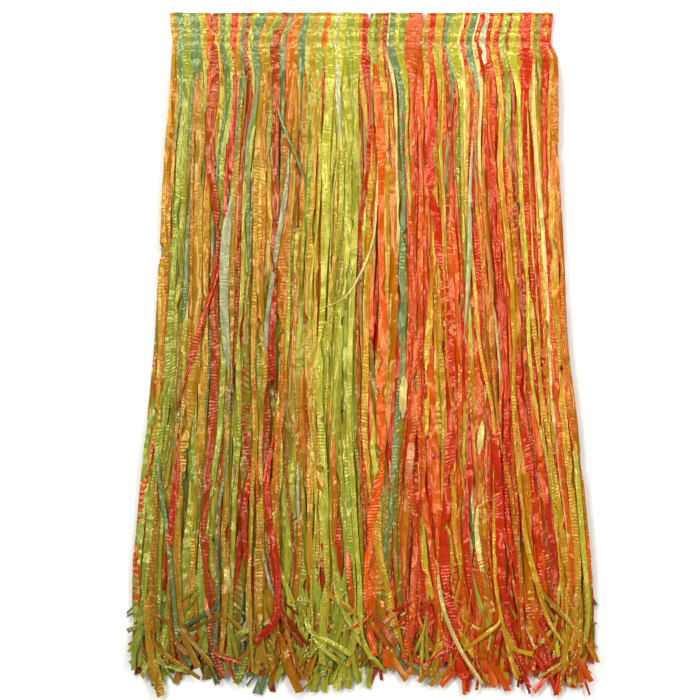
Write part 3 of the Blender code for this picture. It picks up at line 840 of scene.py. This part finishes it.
# The stitching
# Two rows of lockstitch in pale thread hold the folds round the elastic, front and back. Each stitch
# lies on the film between two needle holes and draws it in.
THREAD = 0.4 * MM
STITCH = 3.4 * MM  # from one needle hole to the next
STITCH_ON_FILM = 0.75 * MM  # its level above the faces of the headings
RINGS, ROUND = 7, 6  # rings of points along a stitch, and points round it


def stitch(points, faces, x, y, level, out, tilt):
    """Adds one stitch: a thread that rises from a hole, lies on the film and goes down into the next."""
    start = len(points)
    for share in np.linspace(0, 1, RINGS):
        rise = math.sin(math.pi * share) ** 0.5
        for turn in np.linspace(0, 2 * math.pi, ROUND, endpoint=False):
            round_y, round_z = THREAD / 2 * math.cos(turn), THREAD / 2 * math.sin(turn)
            height = level + out * 1.5 * (rise - 0.8) * THREAD + round_z
            points.append((x + (share - 0.5) * 0.75 * STITCH, y + tilt * (share - 0.5) + round_y, height))
    for a in range(start, start + ROUND * (RINGS - 1), ROUND):
        b = a + ROUND
        faces += [(a + k, a + (k + 1) % ROUND, b + (k + 1) % ROUND, b + k) for k in range(ROUND)]


thread, nodes, links, shader = plain_finish("pale_thread", 0.5)
shader.inputs["Base Color"].default_value = (0.7, 0.66, 0.4, 1)
twist = nodes.new("ShaderNodeTexWave")
twist.inputs["Scale"].default_value = 900
twist.bands_direction = "DIAGONAL"
ply = nodes.new("ShaderNodeBump")
ply.inputs["Distance"].default_value = 0.1 * MM
place = nodes.new("ShaderNodeTexCoord")
links.new(place.outputs["Object"], twist.inputs["Vector"])
links.new(twist.outputs["Fac"], ply.inputs["Height"])
links.new(ply.outputs["Normal"], shader.inputs["Normal"])
draw = np.random.default_rng(9)
stitch_points, stitch_faces = [], []
for out, level in ((1, FRONT_LEVEL[0] + STITCH_ON_FILM), (-1, STITCH_ON_FILM)):
    for row in (UPPER_ROW, LOWER_ROW):
        for x in np.arange(waist_left + 2 * MM, waist_left + waist_width - 2 * MM, STITCH):
            y = fold_y - row + draw.normal(0, 0.3 * MM)
            stitch(stitch_points, stitch_faces, x, y, level, out, draw.normal(0, 0.4 * MM))
stitching = mesh_piece("stitching", stitch_points, stitch_faces, thread)

# The studio
# A pale floor that the skirt lies on, soft lights all round it, and a camera straight above.
FLOOR = 4  # metres from the middle to each edge
PIXEL = 1.216 * MM  # what one pixel of the photo spans on the skirt
PHOTO_SIDE = 700
WAIST_PIXEL_X, FOLD_PIXEL_Y = 361.5, 13.5
CAMERA_HEIGHT = 3.0
SENSOR = 36
floor_mesh = bpy.data.meshes.new("floor")
floor_corners = [(-FLOOR, -FLOOR, 0), (FLOOR, -FLOOR, 0), (FLOOR, FLOOR, 0), (-FLOOR, FLOOR, 0)]
floor_mesh.from_pydata(floor_corners, [], [(0, 1, 2, 3)])
floor = bpy.data.objects.new("floor", floor_mesh)
bpy.context.scene.collection.objects.link(floor)
floor_paint, nodes, links, shader = plain_finish("floor_paint", 0.9)
shader.inputs["Base Color"].default_value = (0.88, 0.91, 0.96, 1)
floor_mesh.materials.append(floor_paint)
sky = bpy.data.worlds.new("studio")
sky.use_nodes = True
sky.node_tree.nodes["Background"].inputs["Color"].default_value = (1, 1, 1, 1)
sky.node_tree.nodes["Background"].inputs["Strength"].default_value = 0.3
bpy.context.scene.world = sky
SOFTBOXES = (
    # name, place, length and width, power
    ("left", (-0.8, 0.35, 2.1), (0.3, 1.5), 32),
    ("right", (0.9, 0.3, 2.1), (0.3, 1.5), 22),
    ("head", (0.0, 1.3, 2.2), (0.3, 1.5), 22),
)
for name, place, size, power in SOFTBOXES:
    light = bpy.data.lights.new(name, "AREA")
    light.shape = "RECTANGLE"
    light.size, light.size_y = size
    light.energy = power
    light.color = (1, 0.94, 0.82)
    lamp = bpy.data.objects.new(name, light)
    bpy.context.scene.collection.objects.link(lamp)
    lamp.location = place
    tilt = math.atan2(math.hypot(place[0], place[1]), place[2])
    lamp.rotation_euler = (0, tilt, math.atan2(place[1], place[0]))
camera_lens = bpy.data.cameras.new("camera")
camera_lens.sensor_width = SENSOR
camera_lens.lens = SENSOR * CAMERA_HEIGHT / (PHOTO_SIDE * PIXEL)
camera = bpy.data.objects.new("camera", camera_lens)
bpy.context.scene.collection.objects.link(camera)
camera.location = (
    waist_x - (WAIST_PIXEL_X - PHOTO_SIDE / 2) * PIXEL,
    fold_y - (PHOTO_SIDE / 2 - FOLD_PIXEL_Y) * PIXEL,
    CAMERA_HEIGHT,
)
bpy.context.scene.camera = camera
bpy.context.scene.view_settings.view_transform = "Standard"
